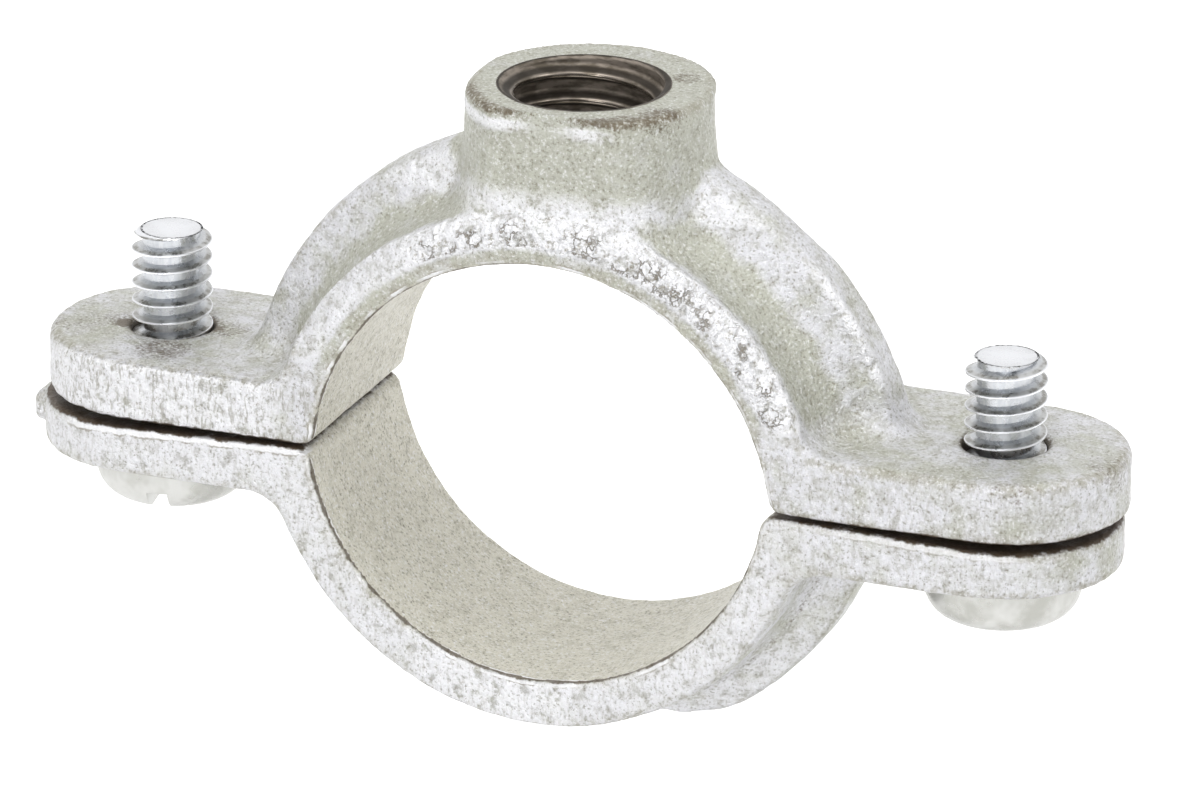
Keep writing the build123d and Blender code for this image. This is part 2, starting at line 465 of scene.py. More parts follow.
def noise(tree, vector, size, detail=2.0, roughness=0.5):
    scale = calc(tree, "DIVIDE", 1.0, size)
    inputs = {"Vector": vector, "Scale": scale, "Detail": detail, "Roughness": roughness}
    return add(tree, "ShaderNodeTexNoise", inputs).outputs[0]


def drawn_along_z(tree, vector, share):
    """The vector with its Z times a share: a pattern is drawn out along Z by a share below 1."""
    return vector_calc(tree, "MULTIPLY", vector, (1.0, 1.0, share))


def attribute(tree, name):
    return add(tree, "ShaderNodeAttribute", attribute_name=name).outputs["Fac"]


def object_place(tree):
    return add(tree, "ShaderNodeTexCoord").outputs["Object"]


def finish_geometry(tree, geometry, given, out):
    """Ends a geometry tree: makes instances real and sets the material."""
    realized = add(tree, "GeometryNodeRealizeInstances", {"Geometry": geometry})
    inputs = {"Geometry": realized.outputs[0], "Material": given["Material"]}
    painted = add(tree, "GeometryNodeSetMaterial", inputs)
    tree.links.new(painted.outputs[0], out["Geometry"])


# Meshes

def new_object(name, data):
    obj = bpy.data.objects.new(name, data)
    bpy.context.scene.collection.objects.link(obj)
    return obj


def mesh_from(bm, name):
    """Turns a bmesh into a mesh, and frees it."""
    mesh = bpy.data.meshes.new(name)
    bm.to_mesh(mesh)
    bm.free()
    return mesh


def plain_mesh(obj):
    """Turns an object with modifiers into one with a plain mesh of its own."""
    depsgraph = bpy.context.evaluated_depsgraph_get()
    mesh = bpy.data.meshes.new_from_object(obj.evaluated_get(depsgraph), depsgraph=depsgraph)
    name = obj.name
    bpy.data.objects.remove(obj)
    return new_object(name, mesh)


def tidy_normals(mesh):
    bm = bmesh.new()
    bm.from_mesh(mesh)
    bmesh.ops.remove_doubles(bm, verts=bm.verts, dist=MERGE_DISTANCE)
    bmesh.ops.recalc_face_normals(bm, faces=bm.faces)
    bm.to_mesh(mesh)
    bm.free()


def run_tree(name, tree, values, mesh=None):
    """Runs a geometry tree on an object, with its inputs set by name, and keeps the plain mesh."""
    obj = new_object(name, mesh or bpy.data.meshes.new(name))
    modifier = obj.modifiers.new(tree.name, "NODES")
    modifier.node_group = tree
    for item in tree.interface.items_tree:
        if item.in_out == "INPUT" and item.name in values:
            modifier[item.identifier] = values[item.name]
    return plain_mesh(obj)


def vectors(mesh, key):
    """The positions (co) or the normals (normal) of the mesh's points."""
    values = np.empty(len(mesh.vertices) * 3, np.float32)
    mesh.vertices.foreach_get(key, values)
    return values.reshape(-1, 3).astype(float)


def positions(mesh):
    return vectors(mesh, "co")


def normals(mesh):
    return vectors(mesh, "normal")


def set_positions(mesh, co):
    mesh.vertices.foreach_set("co", co.astype(np.float32).ravel())
    mesh.update()


def edge_ends(mesh):
    ends = np.empty(len(mesh.edges) * 2, np.int32)
    mesh.edges.foreach_get("vertices", ends)
    return ends.reshape(-1, 2)


def averaged(co, ends, steps):
    """Moves each point halfway to the middle of its neighbours, the given number of times."""
    count = np.bincount(ends.ravel(), minlength=len(co))[:, None]
    for _ in range(steps):
        total = np.zeros_like(co)
        for axis in range(3):
            total[:, axis] = np.bincount(ends[:, 0], co[ends[:, 1], axis], len(co))
            total[:, axis] += np.bincount(ends[:, 1], co[ends[:, 0], axis], len(co))
        co = (co + total / count) / 2
    return co


def blended(co, ends, weight, steps):
    """The points, softened where the weight is 1."""
    soft = averaged(co, ends, steps)
    return co + (soft - co) * weight[:, None]


def store(mesh, name, values):
    mask = mesh.attributes.new(name, "FLOAT", "POINT")
    mask.data.foreach_set("value", values.astype(np.float32))


# Masks over the points of a casting

def smooth_step(values, low, high):
    t = np.clip((values - low) / (high - low), 0, 1)
    return t * t * (3 - 2 * t)


def near(co, place, radius):
    """1 at a place, falling to 0 at the radius."""
    distance = np.linalg.norm(co - np.array(place), axis=1)
    return smooth_step(distance, radius, SPOT_CORE * radius)


def off_axis(co, x, y):
    return np.hypot(co[:, 0] - x, co[:, 1] - y)


def off_bore(co, bore):
    return np.hypot(co[:, 0] - bore[0], co[:, 2] - bore[1])


def zone_mask(zone, co, bore):
    """The mask of one zone, from its limits in mm."""
    x, y, z = co.T
    distances = {
        "x": x,
        "left": -x,
        "y": y,
        "front": -y,
        "z": z,
        "down": -z,
        "below_top": BOSS_TOP - z,
        "radius": off_bore(co, bore),
        "from_rod": off_axis(co, 0, 0),
        "from_screw": np.minimum(off_axis(co, LEFT_X, 0), off_axis(co, RIGHT_X, 0)),
    }
    mask = np.ones(len(co))
    for name, limits in zone.items():
        first, second, *others = [limit * MM for limit in limits]
        mask *= smooth_step(distances[name], first, second)
        if others:
            third, last = others
            mask *= smooth_step(distances[name], last, third)
    return mask


def zone_masks(zones, co, bore):
    masks = {name: zone_mask(zone, co, bore) for name, zone in zones.items()}
    return {"all_over": np.ones(len(co)), **masks}


def strongest(shares, masks, others=()):
    """The strongest mask at each point, each times its share."""
    return np.maximum.reduce([*(share * masks[name] for name, share in shares.items()), *others])


def upper_masks(co, no):
    """Where the upper casting is crusted and painted white as highlight, olive, stained and
    streaked. Its seam gets no painted highlight band.
    """
    masks = zone_masks(UPPER_ZONES, co, UPPER_BORE)
    front = smooth_step(-no[:, 1], *FACING)
    up = smooth_step(no[:, 2], *LYING_FLAT)
    wall = front * masks["side_wall"]
    masks["arch_edge"] *= 1 - OUTER_ARCH_LOSS * masks["outer_arch"]
    masks["arch_edge"] *= 1 - LEFT_ARCH_LOSS * masks["left_arch"]
    masks["left_wall"] = wall * masks["left_end"]
    masks["boss_foot"] *= front
    masks["arch_face"] *= front
    masks["ear_top"] *= up
    masks["right_ear_hole"] = near(co, (RIGHT_X, 0, UPPER_EAR_TOP), RIGHT_EAR_STAIN) * up
    spots = [
        strength * near(co, (start + x * MM, y * MM, height), radius * MM)
        for strength, (start, height), x, y, radius in UPPER_SPOTS
    ]
    return {
        "crust": strongest(UPPER_CRUST_AND_HIGHLIGHT, masks),
        "olive": strongest(UPPER_OLIVE, masks),
        "stain": strongest(UPPER_STAIN, masks, spots),
        "streak": UPPER_STREAK * wall * (1 + masks["left_side"]),
        "seam_gap": co[:, 2] / MM,
        "seam_wear": np.zeros(len(co)),
    }


def lower_masks(co, no):
    """Where the lower casting is crusted and painted white as highlight, olive, stained and
    streaked, and where its seam gets a painted highlight band.
    """
    masks = zone_masks(LOWER_ZONES, co, LOWER_BORE)
    front = smooth_step(-no[:, 1], *FACING)
    masks["scales"] *= front
    masks["wall"] = front * (1 - RIGHT_WALL_LOSS * masks["right_wall"])
    taper = np.clip((np.abs(co[:, 0]) - BORE_RADIUS) / EAR_REACH, 0, 1)
    below_seam = -SEAM_GAP - LOWER_TAPER * taper - co[:, 2]
    return {
        "crust": strongest(LOWER_CRUST_AND_HIGHLIGHT, masks),
        "olive": RIGHT_OLIVE * smooth_step(no[:, 0], *FACING),
        "stain": GROOVE_STAIN * masks["groove"],
        "streak": LOWER_STREAK * front,
        "seam_gap": below_seam / MM,
        "seam_wear": masks["highlight_left"] + RIGHT_HIGHLIGHT * masks["highlight_right"],
    }


# Castings

def skin_tree():
    """Pushes a mesh along its normals by three sizes of noise, times its own weight attributes."""
    tree, given, out = new_tree(
        "Cast skin",
        "GeometryNodeTree",
        [
            ("Geometry", "NodeSocketGeometry", None),
            ("Lump size", "NodeSocketFloat", 0.006),
            ("Lump depth", "NodeSocketFloat", 0.0001),
            ("Ripple size", "NodeSocketFloat", 0.0016),
            ("Ripple depth", "NodeSocketFloat", 0.00006),
            ("Crust size", "NodeSocketFloat", 0.0008),
            ("Crust depth", "NodeSocketFloat", 0.0001),
            ("Seed", "NodeSocketFloat", 0.0),
            ("Material", "NodeSocketMaterial", None),
        ],
        [("Geometry", "NodeSocketGeometry")],
    )
    place = add(tree, "GeometryNodeInputPosition").outputs[0]
    offset = add(tree, "ShaderNodeCombineXYZ", {0: given["Seed"]}).outputs[0]
    place = vector_calc(tree, "ADD", place, offset)
    total = 0.0
    for label in ("Lump", "Ripple"):
        wave = noise(tree, place, given[label + " size"])
        wave = times(tree, calc(tree, "SUBTRACT", wave, 0.5), 2.0)
        total = calc(tree, "MULTIPLY_ADD", wave, given[label + " depth"], total)
    flakes = noise(tree, place, given["Crust size"], 1.0)
    flakes = calc(tree, "SUBTRACT", ramp(tree, flakes, *FLAKE_EDGES), FLAKE_SINK)
    flakes = times(tree, flakes, given["Crust depth"])
    crust, weight = (
        add(tree, "GeometryNodeInputNamedAttribute", {"Name": name}, data_type="FLOAT").outputs[0]
        for name in ("crust", "skin_weight")
    )
    total = calc(tree, "MULTIPLY_ADD", flakes, crust, total)
    total = times(tree, total, weight)
    normal = add(tree, "GeometryNodeInputNormal").outputs[0]
    push = vector_calc(tree, "SCALE", normal, total)
    moved = add(tree, "GeometryNodeSetPosition", {"Geometry": given["Geometry"], "Offset": push})
    finish_geometry(tree, moved.outputs[0], given, out)
    return tree


def remeshed(name, node):
    """An even mesh of one casting, from a merged copy of its solid, fitted back onto the solid."""
    mesh = frame["nodes"][node].data.copy()
    mesh.materials.clear()
    tidy_normals(mesh)
    solid = bmesh.new()
    solid.from_mesh(mesh)
    surface = BVHTree.FromBMesh(solid)
    obj = new_object(name, mesh)
    modifier = obj.modifiers.new("even", "REMESH")
    modifier.mode = "VOXEL"
    modifier.voxel_size = VOXEL
    modifier.adaptivity = 0.0
    done = plain_mesh(obj)
    ends = edge_ends(done.data)
    co = averaged(positions(done.data), ends, SOFTEN_STEPS)
    fitted = np.array([surface.find_nearest(Vector(c))[0] for c in co])
    set_positions(done.data, averaged(fitted, ends, 1))
    solid.free()
    return done


def shape_upper(co, ends):
    """Bevels the front edge of the arch, blends the foot of the boss into the band and raises the
    rim at the back of the boss."""
    along_bevel = np.clip((off_bore(co, UPPER_BORE) - BEVEL_START) / BEVEL_RUN, 0, BEVEL_REACH)
    lean = along_bevel ** BEVEL_CURVE * BEVEL_DEPTH * zone_mask(ARCH_ZONE, co, UPPER_BORE)
    face = -HALF_WIDTH + lean
    beyond = (co[:, 1] < face) & (co[:, 1] < -HALF_WIDTH + BEVEL_LIMIT)
    co[beyond, 1] = face[beyond]
    co = blended(co, ends, zone_mask(BOSS_FOOT_ZONE, co, UPPER_BORE), FOOT_STEPS)
    from_rim = np.maximum(BOSS_TOP - co[:, 2], 0)
    from_rim += np.abs(off_axis(co, BOSS_OFFSET, 0) - BOSS_RADIUS)
    back_rim = smooth_step(from_rim, BACK_RIM_WIDTH, BACK_RIM_CORE)
    back_rim *= zone_mask(BACK_ZONE, co, UPPER_BORE)
    outward = np.stack([co[:, 0], co[:, 1], np.zeros(len(co))], axis=1) / BOSS_RADIUS
    co += outward * (back_rim * BACK_RIM_OUT)[:, None]
    co[:, 2] = np.minimum(co[:, 2] + back_rim * BACK_RIM_UP, BOSS_TOP)
    return co


def shape_lower(co, ends):
    """Softens the right side of the ring's front edge and the rib's flat."""
    right_edge = zone_mask(RIGHT_EDGE_ZONE, co, LOWER_BORE)
    rib_flat = zone_mask(RIB_FLAT_ZONE, co, LOWER_BORE)
    return blended(co, ends, np.maximum(right_edge, rib_flat), LOWER_EDGE_STEPS)


def keep_within(mesh, node):
    """Keeps the cast skin inside the box of its solid."""
    low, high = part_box(node)
    set_positions(mesh, np.clip(positions(mesh), np.array(low), np.array(high)))


def dress(mesh, masks, bore):
    """Stores the masks that the finish reads, with the bore and the hollows."""
    co = positions(mesh)
    no = normals(mesh)
    ends = edge_ends(mesh)
    for name, values in masks.items():
        if name != "crust":
            store(mesh, name, values)
    toward_axis = no[:, 0] * (co[:, 0] - bore[0]) + no[:, 2] * (co[:, 2] - bore[1])
    toward_axis = -toward_axis / BORE_RADIUS
    store(mesh, "bore", zone_mask(BORE_ZONE, co, bore) * smooth_step(toward_axis, *FACING))
    behind_face = np.maximum(co[:, 1] + HALF_WIDTH - RIM_DIRT_DEPTH, 0)
    rim_gap = off_bore(co, bore) - BORE_RADIUS + RIM_DIRT_FADE * behind_face
    store(mesh, "rim_gap", rim_gap / MM)
    near_shape = averaged(co, ends, FINE_STEPS)
    broad_shape = averaged(near_shape, ends, BROAD_STEPS)
    store(mesh, "fine_hollow", 0.5 + ((near_shape - co) * no).sum(1) / FINE_DEPTH)
    store(mesh, "broad_hollow", 0.5 + ((broad_shape - co) * no).sum(1) / BROAD_DEPTH)


def casting(name, node, tree, material, seed, bore, shape, masks_at, lumps=()):
    """A casting with its shape, its cast skin and the masks of its finish. The skin leaves the
    screws' holes as they are, so that the screws still fit."""
    obj = remeshed(name, node)
    mesh = obj.data
    ends = edge_ends(mesh)
    co = positions(mesh)
    weight = zone_mask(SKIN_ZONE, co, bore)
    shaped = shape(co.copy(), ends)
    for place, radius, height in lumps:
        shaped += normals(mesh) * (near(co, place, radius) * height)[:, None]
    set_positions(mesh, co + (shaped - co) * weight[:, None])
    store(mesh, "skin_weight", weight)
    masks = masks_at(positions(mesh), normals(mesh))
    store(mesh, "crust", masks["crust"])
    bpy.data.objects.remove(obj)
    done = run_tree(name, tree, {**SKIN_SIZES, "Seed": seed, "Material": material}, mesh)
    keep_within(done.data, node)
    dress(done.data, masks, bore)
    return done


def open_rod_hole(mesh):
    """Widens the hole's wall in the casting, so that the threaded liner sits in it."""
    co = positions(mesh)
    distance = off_axis(co, 0, 0)
    inside = (distance < ROD_MOUTH) & (co[:, 2] > 0)
    share = ROD_MOUTH / np.maximum(distance, ROD_MINOR / 2)
    co[inside, :2] *= share[inside, None]
    set_positions(mesh, co)


# Helical threads

def thread_tree():
    """A screw thread on a sheared grid, so that its rows follow the helix. Side is 1 for a thread
    outside a bar and -1 for one inside a hole. The cap rows close the bar, or its liner."""
    tree, given, out = new_tree(
        "Helical thread",
        "GeometryNodeTree",
        [
            ("Length", "NodeSocketFloat", 0.01),
            ("Pitch", "NodeSocketFloat", 0.001),
            ("Turns", "NodeSocketInt", 10),
            ("Rows per turn", "NodeSocketInt", 20),
            ("Columns", "NodeSocketInt", 72),
            ("Root width", "NodeSocketFloat", 0.4),
            ("Crest width", "NodeSocketFloat", 0.1),
            ("Root radius", "NodeSocketFloat", 0.0018),
            ("Crest radius", "NodeSocketFloat", 0.0024),
            ("Start radius", "NodeSocketFloat", 0.0018),
            ("End radius", "NodeSocketFloat", 0.0018),
            ("Run out", "NodeSocketFloat", 0.0006),
            ("Cap radius", "NodeSocketFloat", 0.0),
            ("Closing height", "NodeSocketFloat", 0.01),
            ("Side", "NodeSocketFloat", 1.0),
            ("Material", "NodeSocketMaterial", None),
        ],
        [("Geometry", "NodeSocketGeometry")],
    )
    rows = times(tree, given["Turns"], given["Rows per turn"])
    grid_inputs = {
        "Size X": 1.0,
        "Size Y": 1.0,
        "Vertices X": calc(tree, "ADD", given["Columns"], 1.0),
        "Vertices Y": calc(tree, "ADD", rows, 1.0),
    }
    grid = add(tree, "GeometryNodeMeshGrid", grid_inputs)
    position = add(tree, "GeometryNodeInputPosition").outputs[0]
    place = add(tree, "ShaderNodeSeparateXYZ", {0: position})
    around = calc(tree, "ADD", place.outputs[0], 0.5)
    along = calc(tree, "ADD", place.outputs[1], 0.5)
    turns = times(tree, along, given["Turns"])
    height = calc(tree, "SUBTRACT", calc(tree, "ADD", turns, around), 1.0)
    height = calc(tree, "MAXIMUM", times(tree, height, given["Pitch"]), 0.0)
    height = calc(tree, "MINIMUM", height, given["Length"])

    # The rise is 0 in the root and 1 on the crest
    phase = calc(tree, "FRACT", calc(tree, "ADD", turns, TURN_NUDGE))
    from_crest = calc(tree, "ABSOLUTE", calc(tree, "SUBTRACT", phase, 0.5))
    flank = {
        "Value": from_crest,
        "From Min": times(tree, given["Root width"], 0.5),
        "From Max": calc(tree, "MULTIPLY_ADD", given["Crest width"], -0.5, 0.5),
    }
    rise = add(tree, "ShaderNodeMapRange", flank).outputs["Result"]
    depth = calc(tree, "SUBTRACT", given["Crest radius"], given["Root radius"])
    radius = calc(tree, "MULTIPLY_ADD", rise, depth, given["Root radius"])

    # Both ends run out on a slope. The tip of a bar is marked as nearly a crest, so that it takes
    # the crests' painted highlight.
    side = given["Side"]
    steep = calc(tree, "DIVIDE", calc(tree, "ABSOLUTE", depth), given["Run out"])
    left_over = calc(tree, "SUBTRACT", given["Length"], height)
    at_tip = calc(tree, "LESS_THAN", left_over, times(tree, given["Run out"], TIP_SHARE))
    at_tip = times(tree, at_tip, times(tree, side, TIP_MARK))
    marked_rise = calc(tree, "MAXIMUM", rise, at_tip)
    radius = times(tree, side, radius)
    for end, distance in (("Start radius", height), ("End radius", left_over)):
        limit = calc(tree, "MULTIPLY_ADD", distance, steep, times(tree, side, given[end]))
        radius = calc(tree, "MINIMUM", radius, limit)
    radius = times(tree, side, radius)

    # The first and the last rows close the ends
    step = calc(tree, "DIVIDE", 1.0, rows)
    first = calc(tree, "LESS_THAN", along, times(tree, step, 0.5))
    last, near_last = (
        calc(tree, "GREATER_THAN", along, calc(tree, "SUBTRACT", 1.0, times(tree, step, count)))
        for count in (0.5, 1.5)
    )
    cap = calc(tree, "MAXIMUM", first, near_last)
    radius = choose(tree, cap, radius, given["Cap radius"])
    height = choose(tree, last, height, given["Closing height"])

    angle = times(tree, around, 2 * math.pi)
    x = times(tree, radius, calc(tree, "COSINE", angle))
    y = times(tree, radius, calc(tree, "SINE", angle))
    point = add(tree, "ShaderNodeCombineXYZ", {0: x, 1: y, 2: height}).outputs[0]
    marked = add(
        tree,
        "GeometryNodeStoreNamedAttribute",
        {"Geometry": grid.outputs["Mesh"], "Name": "thread_rise", "Value": marked_rise},
        data_type="FLOAT",
        domain="POINT",
    ).outputs[0]
    moved = add(tree, "GeometryNodeSetPosition", {"Geometry": marked, "Position": point}).outputs[0]
    merge = {"Geometry": moved, "Distance": THREAD_MERGE_DISTANCE}
    merged = add(tree, "GeometryNodeMergeByDistance", merge)
    finish_geometry(tree, merged.outputs[0], given, out)
    return tree


def thread(name, tree, form, material, length, bottom, start):
    """A thread of the given form that starts at a height, turned by its start angle."""
    turns = math.ceil(length / form["Pitch"]) + SPARE_TURNS
    values = {"Closing height": length, **form, "Length": length, "Turns": turns}
    obj = run_tree(name, tree, {**values, "Material": material})
    obj.data.transform(Matrix.Translation((0, 0, bottom)) @ Matrix.Rotation(start, 4, "Z"))
    tidy_normals(obj.data)
    return obj


def rod_thread(tree, material):
    return thread(
        "rod_thread",
        tree,
        ROD_THREAD_FORM,
        material,
        length=BOSS_TOP - ROD_THREAD_BOTTOM,
        bottom=ROD_THREAD_BOTTOM,
        start=ROD_THREAD_START,
    )


def joined(name, *objects):
    """One mesh from several, each with its own material."""
    bm = bmesh.new()
    materials = []
    for obj in objects:
        first = len(bm.faces)
        bm.from_mesh(obj.data)
        bm.faces.ensure_lookup_table()
        material = obj.data.materials[-1]
        if material not in materials:
            materials.append(material)
        for face in bm.faces[first:]:
            face.material_index = materials.index(material)
    mesh = mesh_from(bm, name)
    for material in materials:
        mesh.materials.append(material)
    for obj in objects:
        bpy.data.objects.remove(obj)
    return new_object(name, mesh)


# Screws

def head(material, slot_angle):
    """A pan head, turned about Z with its seat at 0, and its slot."""
    outline = [(0.0, 0.0), (HEAD_RADIUS - SEAT_CHAMFER, 0.0), (HEAD_RADIUS, -SEAT_CHAMFER)]
    for i in range(HEAD_ARC_STEPS + 1):
        turn = math.pi / 2 * i / HEAD_ARC_STEPS
        r = HEAD_RADIUS - HEAD_ROUND * (1 - math.cos(turn))
        z = -HEAD_HEIGHT + HEAD_ROUND * (1 - math.sin(turn))
        outline.append((r, z))
    outline.append((0.0, -HEAD_HEIGHT))
    bm = bmesh.new()
    verts = [bm.verts.new((r, 0, z)) for r, z in outline]
    edges = [bm.edges.new(pair) for pair in zip(verts, verts[1:])]
    bmesh.ops.spin(
        bm,
        geom=verts + edges,
        axis=(0, 0, 1),
        cent=(0, 0, 0),
        steps=HEAD_SEGMENTS,
        angle=2 * math.pi,
        use_duplicate=False,
    )
    mesh = mesh_from(bm, "head")
    tidy_normals(mesh)
    obj = new_object("head", mesh)
    cutter = new_object("slot", box_mesh(3 * HEAD_RADIUS, SLOT_WIDTH, 2 * SLOT_DEPTH))
    to_top = Matrix.Translation((0, 0, -HEAD_HEIGHT))
    cutter.data.transform(to_top @ Matrix.Rotation(slot_angle, 4, "Z"))
    cut = obj.modifiers.new("slot", "BOOLEAN")
    cut.operation = "DIFFERENCE"
    cut.solver = "EXACT"
    cut.object = cutter
    edge = obj.modifiers.new("edge", "BEVEL")
    edge.width = EDGE_WIDTH
    edge.segments = 2
    edge.limit_method = "ANGLE"
    edge.angle_limit = EDGE_ANGLE
    done = plain_mesh(obj)
    bpy.data.objects.remove(cutter)
    tidy_normals(done.data)
    done.data.materials.clear()
    done.data.materials.append(material)
    return done


def box_mesh(x, y, z):
    bm = bmesh.new()
    bmesh.ops.create_cube(bm, size=1.0)
    bmesh.ops.scale(bm, vec=(x, y, z), verts=bm.verts)
    return mesh_from(bm, "box")


def screw(node, tree, thread_metal, head_metal, slot_angle, start_turn):
    low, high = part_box(node)
    seat = low.z + HEAD_HEIGHT
    shank = thread(
        node + "_shank",
        tree,
        SCREW_THREAD_FORM,
        thread_metal,
        length=high.z - seat + SHANK_SUNK,
        bottom=-SHANK_SUNK,
        start=start_turn,
    )
    obj = joined(node + "_metal", shank, head(head_metal, slot_angle))
    obj.data.transform(Matrix.Translation(((low.x + high.x) / 2, 0, seat)))
    return obj


# Finishes

def new_material(name, metallic):
    """A material, its tree and the inputs of its shader."""
    material = bpy.data.materials.new(name)
    material.use_nodes = True
    shader = material.node_tree.nodes["Principled BSDF"].inputs
    shader["Metallic"].default_value = metallic
    return material, material.node_tree, shader


def cracked(tree, place, size):
    """Thin wandering crevices round crumbs of the given size, open only here and there."""
    inputs = {"Vector": place, "Scale": 2.0 / size, "Detail": 2.0}
    wander = add(tree, "ShaderNodeTexNoise", inputs).outputs["Color"]
    shift = vector_calc(tree, "SUBTRACT", wander, (0.5, 0.5, 0.5))
    shift = vector_calc(tree, "SCALE", shift, CRUMB_WANDER * size)
    bent = vector_calc(tree, "ADD", place, shift)
    cells = add(tree, "ShaderNodeTexVoronoi", feature="DISTANCE_TO_EDGE")
    plug(tree, bent, cells.inputs["Vector"])
    plug(tree, 1.0 / size, cells.inputs["Scale"])
    line = ramp(tree, cells.outputs["Distance"], 0.09, 0.02)
    open_here = ramp(tree, noise(tree, place, 2.0 * size, 2.0), 0.44, 0.56)
    return times(tree, line, open_here)


def outlined(tree, color, gap, mottle, wear, strength):
    """A dark line of dirt along an edge, by the gap to it in mm. Where the given share is high, a
    painted highlight band and a thin crease follow it."""
    uneven = calc(tree, "MULTIPLY_ADD", calc(tree, "SUBTRACT", mottle, 0.5), 0.5, gap)
    crease = times(tree, ramp(tree, uneven, 0.4, 0.48), ramp(tree, uneven, 0.62, 0.54, 0.0, 0.6))
    crease = times(tree, crease, times(tree, wear, ramp(tree, mottle, 0.6, 0.45)))
    color = blend_color(tree, crease, color, CREASE_COLOR)
    # A painted highlight band along the edge, by the given share
    highlight_band = times(tree, ramp(tree, uneven, 0.14, 0.2), ramp(tree, uneven, 0.5, 0.44))
    color = blend_color(tree, times(tree, highlight_band, wear), color, CHAMFER_HIGHLIGHT)
    dirt = ramp(tree, uneven, 0.21, 0.08, 0.0, strength)
    return blend_color(tree, dirt, color, DIRT_COLOR)


